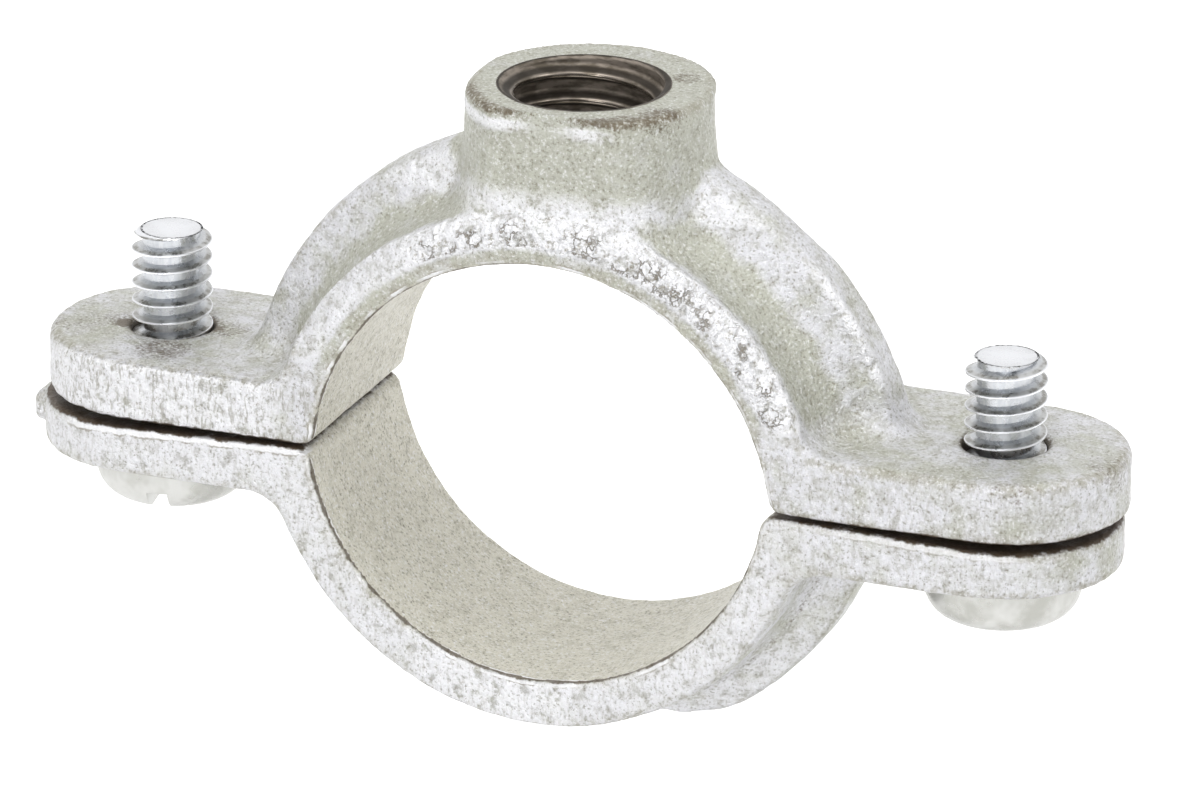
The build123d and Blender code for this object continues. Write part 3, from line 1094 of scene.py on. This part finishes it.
def zinc_group():
    """Hot-dip zinc on cast iron: its colour, with painted shade, highlights and glints, its
    roughness and grain, from the casting's masks.
    """
    tree, given, out = new_tree(
        "Hot-dip zinc",
        "ShaderNodeTree",
        [
            ("Crust", "NodeSocketFloat", 0.0),
            ("Olive", "NodeSocketFloat", 0.0),
            ("Stain", "NodeSocketFloat", 0.0),
            ("Streak", "NodeSocketFloat", 0.0),
            ("Bore", "NodeSocketFloat", 0.0),
            ("Fine hollow", "NodeSocketFloat", 0.5),
            ("Broad hollow", "NodeSocketFloat", 0.5),
            ("Rim gap", "NodeSocketFloat", 1.0),
            ("Seam gap", "NodeSocketFloat", 1.0),
            ("Seam wear", "NodeSocketFloat", 0.0),
        ],
        [
            ("Color", "NodeSocketColor"),
            ("Roughness", "NodeSocketFloat"),
            ("Normal", "NodeSocketVector"),
        ],
    )
    crust, olive, stain, streak, bore = (
        given[label] for label in ("Crust", "Olive", "Stain", "Streak", "Bore")
    )
    broad_hollow = given["Broad hollow"]
    place = object_place(tree)
    patches = noise(tree, place, *PATCHES)
    mottle = noise(tree, place, *MOTTLE)
    grain = noise(tree, place, *GRAIN)
    lines = noise(tree, drawn_along_z(tree, place, STREAK_DRAW), *STREAK_LINES)

    # Ground tones, with painted shade in the broad hollows and a painted white highlight on the
    # crust
    tone = calc(tree, "MULTIPLY_ADD", olive, -0.35, patches)
    color = blend_color(tree, ramp(tree, tone, 0.22, 0.58), OLIVE_ZINC, GREY_ZINC)
    # Painted shade: the broad hollows are darkened
    hollow = ramp(tree, broad_hollow, 0.55, 0.85, 0.0, 0.6)
    edge = times(tree, ramp(tree, broad_hollow, 0.34, 0.12), ramp(tree, mottle, 0.6, 0.4, 0.1, 0.6))
    off_bore_wall = calc(tree, "MULTIPLY_ADD", bore, -0.35, 1.0)
    cloud = times(tree, ramp(tree, mottle, 0.36, 0.56, 0.45, 0.0), off_bore_wall)
    # Painted highlight: the crusted zones are painted white in patches
    white = times(tree, ramp(tree, mottle, 0.32, 0.48), ramp(tree, crust, 0.0, 0.62))

    # Grain: dark specks, painted glints and drawn streaks
    speck_strength = calc(tree, "MULTIPLY_ADD", bore, 0.1, 0.7)
    speck_strength = calc(tree, "MULTIPLY_ADD", crust, -0.3, speck_strength)
    specks = times(tree, ramp(tree, grain, 0.46, 0.32), speck_strength)
    # Painted glints: the brightest grain is painted near white
    glint_strength = calc(tree, "MULTIPLY_ADD", olive, -0.12, speck_strength)
    glints = times(tree, ramp(tree, grain, 0.54, 0.66), glint_strength)
    drawn = times(tree, ramp(tree, lines, 0.47, 0.35, 0.0, 0.5), streak)

    # Cracks, painted shade in the small pits, and stains
    cracks = times(tree, cracked(tree, place, CRUMB_SIZE), ramp(tree, crust, 0.45, 0.75))
    # Painted shade in the small hollows of the skin
    pit_shade = ramp(tree, given["Fine hollow"], 0.7, 1.3, 0.0, 0.6)
    pit_shade = times(tree, pit_shade, ramp(tree, grain, 0.6, 0.4))
    soiled = calc(tree, "MULTIPLY_ADD", calc(tree, "SUBTRACT", mottle, 0.5), 1.1, stain)
    soiled = calc(tree, "MULTIPLY_ADD", calc(tree, "SUBTRACT", 0.5, grain), 1.2, soiled)
    soiled = times(tree, ramp(tree, soiled, 0.3, 0.85), 0.85)
    soiled = times(tree, soiled, ramp(tree, stain, 0.02, 0.3))

    for mask, tint in (
        (hollow, HOLLOW_SHADE),
        (edge, EDGE_TINT),
        (bore, BORE_ZINC),
        (cloud, CLOUD_TINT),
        (white, CRUST_HIGHLIGHT_WHITE),
        (specks, SPECK_COLOR),
        (glints, GLINT_COLOR),
        (drawn, STREAK_COLOR),
        (times(tree, cracks, 0.75), CRACK_COLOR),
        (pit_shade, PIT_SHADE),
        (soiled, STAIN_COLOR),
    ):
        color = blend_color(tree, mask, color, tint)
    rim_gap = times(tree, given["Rim gap"], RIM_GAP_SCALE)
    # Patches of the bore's rim that take the painted highlight band
    rim_highlight = ramp(tree, patches, 0.45, 0.6)
    color = outlined(tree, color, rim_gap, mottle, rim_highlight, RIM_DIRT)
    seam = (given["Seam gap"], mottle, given["Seam wear"])
    color = outlined(tree, color, *seam, SEAM_DIRT)

    # Relief
    height = calc(tree, "MULTIPLY_ADD", lines, times(tree, streak, 1.2), grain)
    mottle_depth = calc(tree, "MULTIPLY_ADD", crust, 5.0, 1.0)
    height = calc(tree, "MULTIPLY_ADD", mottle, mottle_depth, height)
    height = calc(tree, "MULTIPLY_ADD", cracks, -1.0, height)
    relief = {"Height": height, "Distance": ZINC_RELIEF, "Strength": 1.0}
    bump = add(tree, "ShaderNodeBump", relief)
    tree.links.new(color, out["Color"])
    tree.links.new(ramp(tree, mottle, 0.3, 0.65, 0.5, 0.34), out["Roughness"])
    tree.links.new(bump.outputs[0], out["Normal"])
    return tree


def galvanised_metal(name, group):
    material, tree, shader = new_material(name, HOT_DIP_METALLIC)
    finish = add(tree, "ShaderNodeGroup", node_tree=group)
    for socket in finish.inputs:
        tree.links.new(attribute(tree, socket.name.lower().replace(" ", "_")), socket)
    tree.links.new(finish.outputs["Color"], shader["Base Color"])
    for label in ("Roughness", "Normal"):
        tree.links.new(finish.outputs[label], shader[label])
    return material


def machined_thread():
    """Dark cut threads, brown in their roots, with grease and painted shade darkening their flanks.
    """
    material, tree, shader = new_material("tapped_thread", TAPPED_METALLIC)
    place = drawn_along_z(tree, object_place(tree), SMEAR_DRAW)
    smear = ramp(tree, noise(tree, place, *SMEAR), 0.35, 0.65)
    color = blend_color(tree, smear, TAPPED_DARK, TAPPED_LIGHT)
    rise = attribute(tree, "thread_rise")
    # Grease and painted shade darken the flanks nearly to black
    flank = times(tree, ramp(tree, rise, 0.05, 0.4), ramp(tree, rise, 0.95, 0.7, 0.0, 0.85))
    color = blend_color(tree, flank, color, GREASE_AND_SHADE_COLOR)
    tree.links.new(color, shader["Base Color"])
    tree.links.new(ramp(tree, rise, 0.8, 1.0, 0.6, 0.2), shader["Roughness"])
    return material


def bright_zinc_group():
    """The haze, sheen and fine scratches of bright zinc plate, for the threads and the heads."""
    tree, given, out = new_tree(
        "Bright zinc",
        "ShaderNodeTree",
        [("Haze size", "NodeSocketFloat", 0.0008)],
        [
            ("Haze", "NodeSocketFloat"),
            ("Roughness", "NodeSocketFloat"),
            ("Normal", "NodeSocketVector"),
        ],
    )
    place = object_place(tree)
    haze = ramp(tree, noise(tree, place, given["Haze size"], *HAZE_GRAIN), 0.35, 0.65)
    scratch = noise(tree, place, *SCRATCHES)
    relief = {"Height": scratch, "Distance": PLATE_RELIEF, "Strength": PLATE_RELIEF_STRENGTH}
    bump = add(tree, "ShaderNodeBump", relief)
    tree.links.new(haze, out["Haze"])
    tree.links.new(ramp(tree, haze, 0.0, 1.0, 0.24, 0.38), out["Roughness"])
    tree.links.new(bump.outputs[0], out["Normal"])
    return tree


def bright_zinc(name, group, haze_size):
    """A bright zinc material whose colour is still to be linked, its tree, shader and haze."""
    material, tree, shader = new_material(name, PLATE_METALLIC)
    plate = add(tree, "ShaderNodeGroup", {"Haze size": haze_size}, node_tree=group)
    for label in ("Roughness", "Normal"):
        tree.links.new(plate.outputs[label], shader[label])
    return material, tree, shader, plate.outputs["Haze"]


def thread_zinc(group):
    """Crests painted bright as a highlight, a blue-grey root with streaks of painted reflection,
    and painted shade on the flanks.
    """
    material, tree, shader, haze = bright_zinc("screw_thread_zinc", group, THREAD_HAZE_SIZE)
    place = drawn_along_z(tree, object_place(tree), ROOT_REFLECTION_DRAW)
    rise = attribute(tree, "thread_rise")
    # Painted reflection: streaks along the axis on the blue-grey root
    reflection_streaks = noise(tree, place, *ROOT_REFLECTION_LINES)
    root = times(tree, ramp(tree, rise, 0.75, 0.1), ramp(tree, reflection_streaks, 0.62, 0.4, 0.4, 0.9))
    # Painted shade on the flanks, under each crest
    flank_shade = times(tree, ramp(tree, rise, 0.35, 0.6), ramp(tree, rise, 0.97, 0.8))
    flank_shade = times(tree, flank_shade, ramp(tree, haze, 0.1, 0.9, 0.75, 0.3))
    color = blend_color(tree, haze, THREAD_DARK, THREAD_LIGHT)
    # Painted highlight on the crests
    color = blend_color(tree, ramp(tree, rise, 0.85, 1.0), color, THREAD_CREST_HIGHLIGHT)
    color = blend_color(tree, root, color, THREAD_ROOT_REFLECTION)
    color = blend_color(tree, flank_shade, color, FLANK_SHADE_COLOR)
    tree.links.new(color, shader["Base Color"])
    return material


def head_zinc(group):
    material, tree, shader, haze = bright_zinc("screw_head_zinc", group, HEAD_HAZE_SIZE)
    tree.links.new(blend_color(tree, haze, HEAD_DARK, HEAD_LIGHT), shader["Base Color"])
    return material


# Camera, floor and light

def toward(azimuth, elevation):
    """The direction from the origin to a place seen at these angles; azimuth 0 is the front."""
    return Vector(
        (
            math.sin(azimuth) * math.cos(elevation),
            -math.cos(azimuth) * math.cos(elevation),
            math.sin(elevation),
        )
    )


def make_camera():
    back = toward(CAMERA_AZIMUTH, CAMERA_ELEVATION)
    level_right = Vector((math.cos(CAMERA_AZIMUTH), math.sin(CAMERA_AZIMUTH), 0))
    level_up = back.cross(level_right)
    eye = back * CAMERA_DISTANCE + level_right * CAMERA_RIGHT_SHIFT + level_up * CAMERA_UP_SHIFT
    right = level_right * math.cos(CAMERA_ROLL) + level_up * math.sin(CAMERA_ROLL)
    up = level_up * math.cos(CAMERA_ROLL) - level_right * math.sin(CAMERA_ROLL)
    data = bpy.data.cameras.new("camera")
    data.sensor_fit = "HORIZONTAL"
    data.sensor_width = CAMERA_SENSOR
    data.lens = CAMERA_LENS
    data.clip_start = CAMERA_NEAR
    data.clip_end = CAMERA_FAR
    camera = new_object("camera", data)
    turn = Matrix((right, up, back)).transposed().to_4x4()
    camera.matrix_world = Matrix.Translation(eye) @ turn
    bpy.context.scene.camera = camera


def seen_directly(tree):
    """1 for what the camera sees, directly, in a reflection or through glass."""
    path = add(tree, "ShaderNodeLightPath")
    seen = calc(tree, "MAXIMUM", path.outputs["Is Camera Ray"], path.outputs["Is Glossy Ray"])
    return calc(tree, "MAXIMUM", seen, path.outputs["Is Transmission Ray"])


def make_world():
    """A white studio that lights softly, with a darker room in front of the object."""
    world = bpy.data.worlds.new("studio")
    bpy.context.scene.world = world
    world.use_nodes = True
    tree = world.node_tree
    background = tree.nodes["Background"]
    direction = add(tree, "ShaderNodeTexCoord").outputs["Generated"]
    sides = {0: direction, 1: toward(DARK_SIDE, 0)}
    room = add(tree, "ShaderNodeVectorMath", sides, operation="DOT_PRODUCT")
    dark = ramp(tree, room.outputs["Value"], *DARK_SIDE_EDGES)
    color = blend_color(tree, dark, STUDIO_WHITE, STUDIO_DARK)
    strength = calc(tree, "MULTIPLY_ADD", seen_directly(tree), 1 - STUDIO_FILL, STUDIO_FILL)
    tree.links.new(color, background.inputs["Color"])
    tree.links.new(strength, background.inputs["Strength"])


def make_floor():
    bm = bmesh.new()
    bmesh.ops.create_grid(bm, x_segments=1, y_segments=1, size=FLOOR_SIZE / 2)
    mesh = mesh_from(bm, "floor")
    mesh.transform(Matrix.Translation((0, 0, FLOOR_Z)))
    material, tree, shader = new_material("floor", 0.0)
    shader["Base Color"].default_value = FLOOR_GREY
    shader["Roughness"].default_value = FLOOR_ROUGHNESS
    shader["Emission Color"].default_value = STUDIO_WHITE
    glow = times(tree, seen_directly(tree), FLOOR_GLOW)
    tree.links.new(glow, shader["Emission Strength"])
    mesh.materials.append(material)
    new_object("floor", mesh)


def area_light(name, azimuth, elevation, size, power):
    direction = toward(math.radians(azimuth), math.radians(elevation))
    data = bpy.data.lights.new(name, "AREA")
    data.shape = "DISK"
    data.size = size
    data.energy = power
    light = new_object(name, data)
    light.location = direction * LAMP_DISTANCE
    light.rotation_euler = direction.to_track_quat("Z", "Y").to_euler()


make_camera()
make_world()
make_floor()
for lamp in LAMPS:
    area_light(*lamp)

threads = thread_tree()
skin = skin_tree()
plating = bright_zinc_group()
screw_metals = (thread_zinc(plating), head_zinc(plating))
hot_dip = zinc_group()
upper_zinc = galvanised_metal("upper_zinc", hot_dip)
lower_zinc = galvanised_metal("lower_zinc", hot_dip)

upper_body = casting(
    "upper_body", "upper_half", skin, upper_zinc, UPPER_SEED, UPPER_BORE, shape_upper, upper_masks
)
open_rod_hole(upper_body.data)
upper = joined("upper_casting", upper_body, rod_thread(threads, machined_thread()))
lower = casting(
    "lower_casting",
    "lower_half",
    skin,
    lower_zinc,
    LOWER_SEED,
    LOWER_BORE,
    shape_lower,
    lower_masks,
    lumps=[DROSS],
)
left = screw("left_screw", threads, *screw_metals, LEFT_SLOT_ANGLE, LEFT_THREAD_START)
right = screw("right_screw", threads, *screw_metals, RIGHT_SLOT_ANGLE, RIGHT_THREAD_START)

for piece, node, slot in (
    (upper, "upper_half", "galvanised_iron"),
    (lower, "lower_half", "galvanised_iron"),
    (left, "left_screw", "zinc_plated_steel"),
    (right, "right_screw", "zinc_plated_steel"),
):
    for polygon in piece.data.polygons:
        polygon.use_smooth = True
    piece.data.set_sharp_from_angle(angle=SHARP_EDGE_ANGLE)
    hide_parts(node)
    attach(piece, node)

scene = bpy.context.scene
scene.view_settings.view_transform = "Standard"
